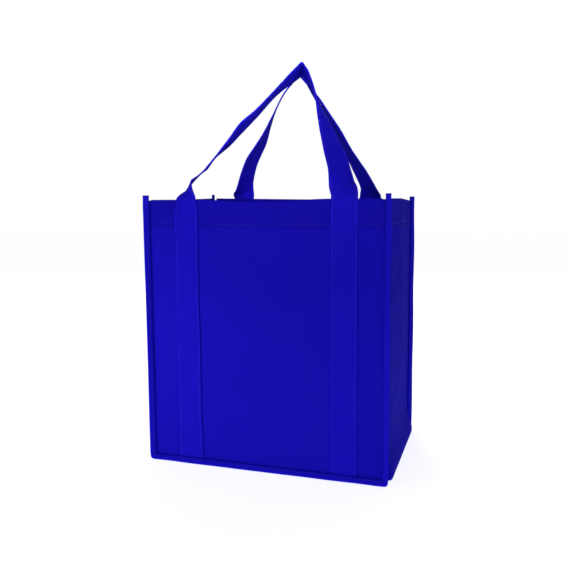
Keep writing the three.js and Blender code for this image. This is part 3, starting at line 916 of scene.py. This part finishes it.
def board_look(colour):
    """Satin moulded plastic with a fine grain and faint scuffs."""
    look = Look("Board")
    place = look.add("ShaderNodeTexCoord", {}).outputs["Object"]
    grain = look.add("ShaderNodeTexNoise", {"Vector": place, "Scale": 900.0, "Detail": 4.0})
    look.bump(grain.outputs["Fac"], 0.5, 0.00006)
    scuff = look.add("ShaderNodeTexNoise", {"Vector": place, "Scale": 35.0, "Detail": 8.0}).outputs["Fac"]
    look.join(look.span(scuff, 0.0, 1.0, 0.48, 0.68), look.shader.inputs["Roughness"])
    look.colour_by(colour, look.span(scuff, 0.0, 1.0, 0.85, 1.2))
    return look.material


def shared(name, make):
    """The material of that name, made on its first use."""
    return bpy.data.materials.get(name) or make(name)


def cloth_material(sizes):
    """The panels' and the gusset's cloth, with painted shade darkening it above the hem's lower edge."""
    hem = Layout(sizes).hem_bottom
    return shared("Non-woven Cloth", lambda name: woven_look(name, sizes.cloth_colour, hem_height=hem))


def strap_material(sizes):
    """The straps are doubled cloth; their colour is the walls' cloth made 9 per cent paler, a painted light
    for the light they catch.
    """
    painted_lighter_colour = tuple(1.09 * part for part in sizes.cloth_colour)
    return shared("Strap Cloth", lambda name: woven_look(name, painted_lighter_colour, edge=sizes.strap_width / 2))


def tape_material(sizes):
    """The tapes' cloth has a finer pattern and is a little smoother."""
    return shared("Binding Tape", lambda name: woven_look(name, sizes.tape_colour, 0.8, 0.0011))


def thread_material(sizes):
    """One thread for all the stitching."""
    return shared("Thread", lambda name: thread_look(sizes.thread_colour))


class BAG_OT_panels(bpy.types.Operator):
    """Make the front and back panels"""

    bl_idname = "bag.panels"
    bl_label = "Panels"

    def execute(self, context):
        layout = Layout(context.scene.bag_sizes)
        for side, name, node in ((-1, "Front_Panel", "front_panel"), (1, "Back_Panel", "back_panel")):
            made = make_panel(layout, side, name)
            made.data.materials.append(cloth_material(layout.sizes))
            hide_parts(node)
        return {"FINISHED"}


class BAG_OT_gusset(bpy.types.Operator):
    """Make the strip that forms both sides and the bottom"""

    bl_idname = "bag.gusset"
    bl_label = "Gusset"

    def execute(self, context):
        layout = Layout(context.scene.bag_sizes)
        made = make_gusset(layout)
        made.data.materials.append(cloth_material(layout.sizes))
        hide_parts("gusset")
        return {"FINISHED"}


class BAG_OT_tapes(bpy.types.Operator):
    """Make the two binding tapes and their stitching"""

    bl_idname = "bag.tapes"
    bl_label = "Tapes"

    def execute(self, context):
        layout = Layout(context.scene.bag_sizes)
        threads = []
        for side, name, node in ((-1, "Front_Binding", "front_binding"), (1, "Back_Binding", "back_binding")):
            made, line = make_tape(layout, side, name)
            made.data.materials.append(tape_material(layout.sizes))
            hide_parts(node)
            threads.extend(tape_threads(layout, side, line))
        stitching = join_rows("Binding_Stitches", threads)
        stitching.data.materials.append(thread_material(layout.sizes))
        return {"FINISHED"}


class BAG_OT_straps(bpy.types.Operator):
    """Make the two handle straps and their stitching"""

    bl_idname = "bag.straps"
    bl_label = "Straps"

    def execute(self, context):
        layout = Layout(context.scene.bag_sizes)
        for shape, name, node in (
                (FRONT_HANDLE, "Front_Handle", "front_handle"), (BACK_HANDLE, "Back_Handle", "back_handle")):
            made, rows, facing = make_strap(Handle(layout, shape), name)
            made.data.materials.append(strap_material(layout.sizes))
            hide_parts(node)
            stitching = join_rows(name + "_Stitches", strap_threads(rows, facing))
            stitching.data.materials.append(thread_material(layout.sizes))
        return {"FINISHED"}


class BAG_OT_hem_stitches(bpy.types.Operator):
    """Make the stitch row round the hem"""

    bl_idname = "bag.hem_stitches"
    bl_label = "Hem Stitches"

    def execute(self, context):
        layout = Layout(context.scene.bag_sizes)
        stitching = join_rows("Hem_Stitches", hem_threads(layout))
        stitching.data.materials.append(thread_material(layout.sizes))
        return {"FINISHED"}


class BAG_OT_board(bpy.types.Operator):
    """Make the loose board on the bottom"""

    bl_idname = "bag.board"
    bl_label = "Base Board"

    def execute(self, context):
        layout = Layout(context.scene.bag_sizes)
        made = make_board(layout)
        made.data.materials.append(board_look(layout.sizes.board_colour))
        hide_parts("bottom_board")
        return {"FINISHED"}


class BAG_OT_stage(bpy.types.Operator):
    """Set the camera, the soft light and the white floor"""

    bl_idname = "bag.stage"
    bl_label = "Stage"

    def execute(self, context):
        scene = context.scene
        scene.view_settings.view_transform = "Standard"
        make_camera(scene)
        make_lights(scene)
        make_floor()
        return {"FINISHED"}


def make_camera(scene):
    """A view of the front from the right, at the height of the mouth and a little downwards."""
    data = bpy.data.cameras.new("Camera")
    data.lens, data.sensor_width = LENS, 36.0
    camera = bpy.data.objects.new("Camera", data)
    scene.collection.objects.link(camera)
    yaw, pitch, roll = CAMERA_TURN
    ahead = Vector((math.sin(yaw) * math.cos(pitch), math.cos(yaw) * math.cos(pitch), -math.sin(pitch)))
    right = Vector((math.cos(yaw), -math.sin(yaw), 0))
    up = right.cross(ahead)
    level_right = math.cos(roll) * right + math.sin(roll) * up
    level_up = math.cos(roll) * up - math.sin(roll) * right
    turn = Matrix((level_right, level_up, -ahead)).transposed().to_4x4()
    camera.matrix_world = Matrix.Translation(CAMERA_PLACE) @ turn
    scene.camera = camera


def add_light(scene, name, kind, place, target, power):
    """A lamp of that kind at a place, turned to its target."""
    data = bpy.data.lights.new(name, kind)
    data.energy = power
    light = bpy.data.objects.new(name, data)
    scene.collection.objects.link(light)
    light.location = place
    light.rotation_euler = (Vector(target) - Vector(place)).to_track_quat("-Z", "Y").to_euler()
    return data


def area_light(scene, name, place, target, size, power):
    """A disc that shines softly, size across in metres."""
    data = add_light(scene, name, "AREA", place, target, power)
    data.shape, data.size = "DISK", size


def spot_light(scene, name, place, target, cone, size, power, blend=1.0):
    """A soft spot with its full cone in degrees, which fades out over the outer `blend` of the cone."""
    data = add_light(scene, name, "SPOT", place, target, power)
    data.spot_size, data.spot_blend = math.radians(cone), blend
    data.shadow_soft_size = size


def background_rays(nodes, links):
    """1 for rays from the camera, off a shine or through glass, which see the plain white background."""
    path = nodes.new("ShaderNodeLightPath")
    seen = path.outputs["Is Camera Ray"]
    for kind in ("Is Glossy Ray", "Is Transmission Ray"):
        either = nodes.new("ShaderNodeMath")
        either.operation = "MAXIMUM"
        links.new(seen, either.inputs[0])
        links.new(path.outputs[kind], either.inputs[1])
        seen = either.outputs["Value"]
    return seen


def make_lights(scene):
    """Soft spots that brighten the left, the base and the handles, two discs at the side and behind, and
    an even white room."""
    spot_light(scene, "Key", (-1.0, -1.2, 0.25), (-0.238, -0.10, 0.175), 27.3, 0.2, 70)
    spot_light(scene, "Low", (0.1, -1.6, 0.1), (0.30, -0.10, 0.04), 32, 0.2, 25)
    spot_light(scene, "Handles", (0.05, -1.6, 0.5), (0, -0.1, 0.652), 22.4, 0.15, 50, 0.25)
    spot_light(scene, "Right", (0.9, -1.0, 0.05), (-0.03, 0, 0.49), 15, 0.15, 60)
    spot_light(scene, "Straps", (0.35, -1.0, 0.95), (0.0, 0.1, 0.46), 15, 0.05, 20)
    spot_light(scene, "Back_Leg", (0.6, -1.76, 0.46), (-0.083, 0.085, 0.402), 3.9, 0.02, 70, 0.35)
    area_light(scene, "Side", (1.3, -1.0, 0.4), (0, 0, 0.2), 1.0, 3.3)
    area_light(scene, "Back", (-0.6, 1.8, 0.9), (0, 0, 0.25), 1.0, 14)
    world = bpy.data.worlds.new("White Room")
    world.use_nodes = True
    scene.world = world
    nodes, links = world.node_tree.nodes, world.node_tree.links
    room = nodes["Background"]
    room.inputs["Color"].default_value = (1, 1, 1, 1)
    room.inputs["Strength"].default_value = ROOM_LIGHT
    seen = nodes.new("ShaderNodeBackground")
    seen.inputs["Color"].default_value = (1, 1, 1, 1)
    seen.inputs["Strength"].default_value = 1.0
    mix = nodes.new("ShaderNodeMixShader")
    links.new(background_rays(nodes, links), mix.inputs["Fac"])
    links.new(room.outputs["Background"], mix.inputs[1])
    links.new(seen.outputs["Background"], mix.inputs[2])
    links.new(mix.outputs["Shader"], nodes["World Output"].inputs["Surface"])


def make_floor():
    """A pale floor that reads white away from the shadow and throws soft light up round the bag."""
    points = FLOOR_HALF * np.array([[-1, -1, 0], [1, -1, 0], [1, 1, 0], [-1, 1, 0]], float)
    mesh = bpy.data.meshes.new("Floor")
    mesh.from_pydata(points.tolist(), [], [[0, 1, 2, 3]])
    floor = bpy.data.objects.new("Floor", mesh)
    bpy.context.scene.collection.objects.link(floor)
    look = Look("Floor")
    shader = look.shader
    shader.inputs["Base Color"].default_value = (0.8, 0.8, 0.8, 1)
    shader.inputs["Roughness"].default_value = 0.9
    shader.inputs["Specular IOR Level"].default_value = 0.0
    shader.inputs["Emission Color"].default_value = (1, 1, 1, 1)
    where = look.add("ShaderNodeTexCoord", {})
    away = look.add("ShaderNodeVectorMath", {0: where.outputs["Object"]}, operation="LENGTH")
    pool = look.span(away.outputs["Value"], *FLOOR_REACH, FLOOR_LIGHT, 0.0)
    tree = look.material.node_tree
    seen = background_rays(tree.nodes, tree.links)
    glow = look.add("ShaderNodeMix", {"Factor": seen, "A": pool, "B": FLOOR_SEEN})
    look.join(glow.outputs["Result"], shader.inputs["Emission Strength"])
    mesh.materials.append(look.material)


class BAG_PT_sizes(bpy.types.Panel):
    """Lists the bag's sizes and colours, and a button for each group of pieces."""

    bl_label = "Carrier Bag"
    bl_idname = "BAG_PT_sizes"
    bl_space_type = "VIEW_3D"
    bl_region_type = "UI"
    bl_category = "Bag"

    def draw(self, context):
        sizes = context.scene.bag_sizes
        for name in BagSizes.__annotations__:
            self.layout.prop(sizes, name)
        for operator in PARTS:
            self.layout.operator(operator.bl_idname)


PARTS = (
    BAG_OT_panels, BAG_OT_gusset, BAG_OT_tapes, BAG_OT_straps, BAG_OT_hem_stitches, BAG_OT_board,
    BAG_OT_stage,
)


def register():
    """Adds the sizes, the operators and the panel."""
    for item in (BagSizes, *PARTS, BAG_PT_sizes):
        bpy.utils.register_class(item)
    bpy.types.Scene.bag_sizes = PointerProperty(type=BagSizes)


def unregister():
    """Takes them out again."""
    del bpy.types.Scene.bag_sizes
    for item in reversed((BagSizes, *PARTS, BAG_PT_sizes)):
        bpy.utils.unregister_class(item)


def main():
    """Makes the whole bag and its stage."""
    register()
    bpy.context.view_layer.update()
    bpy.ops.bag.panels()
    bpy.ops.bag.gusset()
    bpy.ops.bag.tapes()
    bpy.ops.bag.straps()
    bpy.ops.bag.hem_stitches()
    bpy.ops.bag.board()
    bpy.ops.bag.stage()


if __name__ == "__main__":
    main()
